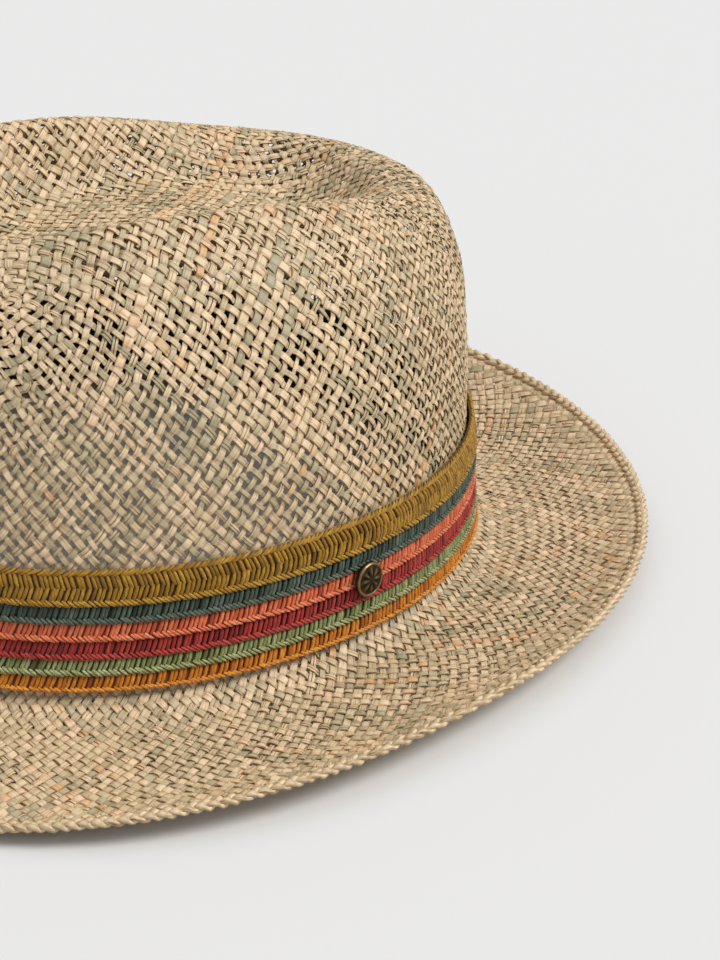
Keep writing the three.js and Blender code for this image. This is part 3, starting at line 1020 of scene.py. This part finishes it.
# Each braid lies over the top of the next. The first shows two rows and a chain at its top.
def makeBraids(v):
    rng = np.random.default_rng(v["seed"])
    angles = np.linspace(0, 2 * math.pi, v["sides"], endpoint=False)
    top = knots["bandTop"] - v["rise"]
    for number, (node, braid) in enumerate(braids.items()):
        first = number == 0
        start = top if first else top - v["tuck"]
        end = top + braid["shows"]
        waist = end - v["chain"]
        middle = start + v["topChain"] + v["upperRow"]
        levels = {"start": start, "top": top, "middle": middle, "waist": waist, "end": end}
        lines = []
        for name in ("topChain", "upper", "lower", "chain") if first else ("single", "chain"):
            row = yarnRows[name]
            ends = [levels[level] + shift for level, shift in (row["from"], row["to"])]
            lines += rowLines(rng, v, row, *ends)
        ring = [(start + down, out) for down, out in v["openTop" if first else "coveredTop"]]
        lip = end - v["lipShort"]
        ring += [(waist, v["waistOut"]), (lip, v["lipOut"]), (lip, v["lipIn"]), (ring[0][0], v["rest"])]
        base = [onHat(down, angles, out)[0] for down, out in ring]
        material = cottonMaterial(braid["slot"].replace("_braid", "Cotton"), {**cottonLook, **braid})
        # The plain ring under the yarns keeps tone 0, the braid's deep colour: painted shade in the gaps
        # between them
        piece = sweepLines(node.replace("band_", "braid_"), lines, material, v["thick"], False, base)
        finishPiece(piece, node)
        top = end


makeBraids(braidForm)
print("braids done")

sweatForm = {"height": 28, "belowSeam": 4, "wall": 1.0, "sides": 240, "ribs": 5, "ribDepth": 0.15}


def clothMaterial():
    material, tree, shader = newMaterial("darkCloth", {"Roughness": 0.9})
    ribs = {"Scale": 210, "Distortion": 0.6}
    place = addNode(tree, "ShaderNodeTexCoord", (-900, 0))
    wave = addNode(tree, "ShaderNodeTexWave", (-600, 100), ribs, bands_direction="Z")
    fuzz = addNode(tree, "ShaderNodeTexNoise", (-600, -200), {"Scale": 900})
    ramp = rampNode(tree, (-300, 100), [(0.0, (0.006, 0.006, 0.006)), (1.0, (0.03, 0.028, 0.027))])
    bump = addNode(tree, "ShaderNodeBump", (0, -200), {"Strength": 0.5, "Distance": 0.0003})
    both = mathNode(tree, (-300, -150), "MULTIPLY")
    joinNodes(tree, [
        (place, "Object", wave, "Vector"),
        (place, "Object", fuzz, "Vector"),
        (wave, "Fac", ramp, "Fac"),
        (wave, "Fac", both, 0),
        (fuzz, "Fac", both, 1),
        (both, "Value", bump, "Height"),
        (ramp, "Color", shader, "Base Color"),
        (bump, "Normal", shader, "Normal"),
    ])
    return material


def makeSweatband(v):
    bottom = knots["seam"] + v["belowSeam"]
    near = -hatForm["wall"] - hatForm["seamGap"]
    far = near - v["wall"]
    downs = np.linspace(bottom - v["height"], bottom, v["ribs"] * 2 + 1)
    section = [(down, near) for down in downs]
    section += [(down, far - v["ribDepth"] * (n % 2)) for n, down in enumerate(downs[::-1])]
    piece = ringPiece("sweatband_cloth", section, v["sides"], clothMaterial())
    finishPiece(piece, "sweatband")


makeSweatband(sweatForm)

footForm = {"belowTop": 3.0, "aboveSeam": 0.2, "topOut": -0.2, "endOut": -0.1, "inside": 0.1, "sides": 120}


# The straw behind the band, which neither side shows
def makeFoot(v):
    top, end = knots["bandTop"] + v["belowTop"], knots["seam"] - v["aboveSeam"]
    inner = -hatForm["wall"] + v["inside"]
    section = [(top, v["topOut"]), (end, v["endOut"]), (end, inner), (top, inner)]
    piece = ringPiece("crown_foot", section, v["sides"], strawWeave)
    finishPiece(piece, "crown")


makeFoot(footForm)

studForm = {
    "angle": 2.6, "radius": 4.6, "back": 3.45, "edge": 0.7, "dome": 0.75,
    "rim": 0.42, "rimAt": 4.2, "rimWidth": 0.3,
    "petals": 8, "petalAt": 2.1, "petalWidth": 1.1, "petalRise": 0.24, "rounds": 36, "spokes": 96,
    # how bright the brass is worn: the ground, what full relief adds, the middle and the side
    "ground": 0.35, "worn": 0.6, "middle": 0.5, "side": 0.3,
}


def studRelief(v, r, turn):
    petal = math.cos(v["petals"] * turn) * math.exp(-((r - v["petalAt"]) / v["petalWidth"]) ** 2)
    rim = v["rim"] * math.exp(-((r - v["rimAt"]) / v["rimWidth"]) ** 2)
    return rim + v["petalRise"] * petal


def brassMaterial():
    material, tree, shader = newMaterial("agedBrass", {"Metallic": 0.85})
    tones = [(0.25, (0.014, 0.010, 0.006)), (0.60, (0.055, 0.037, 0.019)), (0.95, (0.30, 0.20, 0.10))]
    relief = attributeNode(tree, (-900, 100), "relief")
    place = addNode(tree, "ShaderNodeTexCoord", (-900, -150))
    grime = addNode(tree, "ShaderNodeTexNoise", (-700, -150), {"Scale": 900, "Detail": 4})
    mix = mathNode(tree, (-500, 50), "MULTIPLY_ADD", 0.35)
    ramp = rampNode(tree, (-300, 150), tones)
    rough = addNode(tree, "ShaderNodeMapRange", (-300, -100), {"To Min": 0.62, "To Max": 0.3})
    bump = addNode(tree, "ShaderNodeBump", (0, -250), {"Strength": 0.35, "Distance": 0.0001})
    joinNodes(tree, [
        (place, "Object", grime, "Vector"),
        (grime, "Fac", mix, 0),
        (relief, "Fac", mix, 2),
        (mix, "Value", ramp, "Fac"),
        (relief, "Fac", rough, "Value"),
        (ramp, "Color", shader, "Base Color"),
        (rough, "Result", shader, "Roughness"),
        (grime, "Fac", bump, "Height"),
        (bump, "Normal", shader, "Normal"),
    ])
    return material


def makeStud(v):
    shown = braids["band_olive"]["shows"] + braids["band_teal"]["shows"] + braids["band_coral"]["shows"] / 2
    down = np.array([knots["bandTop"] - braidForm["rise"] + shown])
    angle = np.array([math.radians(v["angle"])])
    centre, out = onHat(down, angle, v["back"])
    along = unit(sample("alongs", down, angle)) @ leanTurn.T
    yAxis, zAxis = -along[0], out[0]
    xAxis = np.cross(yAxis, zAxis)
    work = bmesh.new()
    layer = work.verts.layers.float.new("relief")

    def vertex(r, turn, height, relief):
        x, y = r * math.cos(turn), r * math.sin(turn)
        vert = work.verts.new(centre[0] + (xAxis * x + yAxis * y + zAxis * height) * mm)
        vert[layer] = relief
        return vert

    count = v["spokes"]
    rings = []
    for n in range(1, v["rounds"] + 1):
        r = v["radius"] * n / v["rounds"]
        row = []
        for k in range(count):
            turn = 2 * math.pi * k / count
            relief = studRelief(v, r, turn)
            high = v["edge"] + v["dome"] * (1 - (r / v["radius"]) ** 2) + relief
            shine = v["ground"] + v["worn"] * relief / v["rim"]
            row.append(vertex(r, turn, high, min(max(shine, 0), 1)))
        rings.append(row)
    rings.append([vertex(v["radius"], 2 * math.pi * k / count, 0, v["side"]) for k in range(count)])
    top = vertex(0, 0, v["edge"] + v["dome"] + studRelief(v, 0, 0), v["middle"])
    bottom = vertex(0, 0, 0, v["side"])
    for k in range(count):
        work.faces.new((top, rings[0][k], rings[0][(k + 1) % count]))
        work.faces.new((bottom, rings[-1][(k + 1) % count], rings[-1][k]))
        for a, b in zip(rings, rings[1:]):
            work.faces.new((a[k], b[k], b[(k + 1) % count], a[(k + 1) % count]))
    for face in work.faces:
        face.smooth = True
    mesh = bpy.data.meshes.new("brass_stud")
    work.to_mesh(mesh)
    work.free()
    finishPiece(placePiece("brass_stud", mesh, brassMaterial()), "badge")


makeStud(studForm)

studio = {
    "floor": (0.722, 0.732, 0.745), "floorHalf": 6, "horizon": 0.20, "zenith": 0.91,
    "key": {"from": (1.0, 0.78, 1.5), "spread": 28, "power": 1.95, "color": (1.0, 0.97, 0.92)},
}


def makeStudio(v):
    surfaceInputs = {"Base Color": (*v["floor"], 1), "Roughness": 0.9, "Specular IOR Level": 0.1}
    half = v["floorHalf"]
    mesh = bpy.data.meshes.new("studioFloor")
    corners = [(-half, -half, 0), (half, -half, 0), (half, half, 0), (-half, half, 0)]
    mesh.from_pydata(corners, [], [(0, 1, 2, 3)])
    floor = placePiece("studioFloor", mesh, newMaterial("palePaper", surfaceInputs)[0])
    light = v["key"]
    data = bpy.data.lights.new("key", "SUN")
    data.angle = math.radians(light["spread"])
    data.energy = light["power"]
    data.color = light["color"]
    lamp = bpy.data.objects.new("key", data)
    scene.collection.objects.link(lamp)
    lamp.location = light["from"]
    lamp.rotation_mode = "QUATERNION"
    lamp.rotation_quaternion = Vector(light["from"]).to_track_quat("Z", "Y")
    world = bpy.data.worlds.new("studioWorld")
    world.use_nodes = True
    sky = world.node_tree
    place = addNode(sky, "ShaderNodeTexCoord", (-700, 0))
    split = addNode(sky, "ShaderNodeSeparateXYZ", (-500, 0))
    brightness = {"To Min": v["horizon"], "To Max": v["zenith"]}
    bright = addNode(sky, "ShaderNodeMapRange", (-300, 0), brightness)
    background = sky.nodes["Background"]
    background.inputs["Color"].default_value = (1, 1, 1, 1)
    joinNodes(sky, [
        (place, "Generated", split, "Vector"),
        (split, "Z", bright, "Value"),
        (bright, "Result", background, "Strength"),
    ])
    scene.world = world
    scene.view_settings.view_transform = "Standard"


makeStudio(studio)
print("studio done")
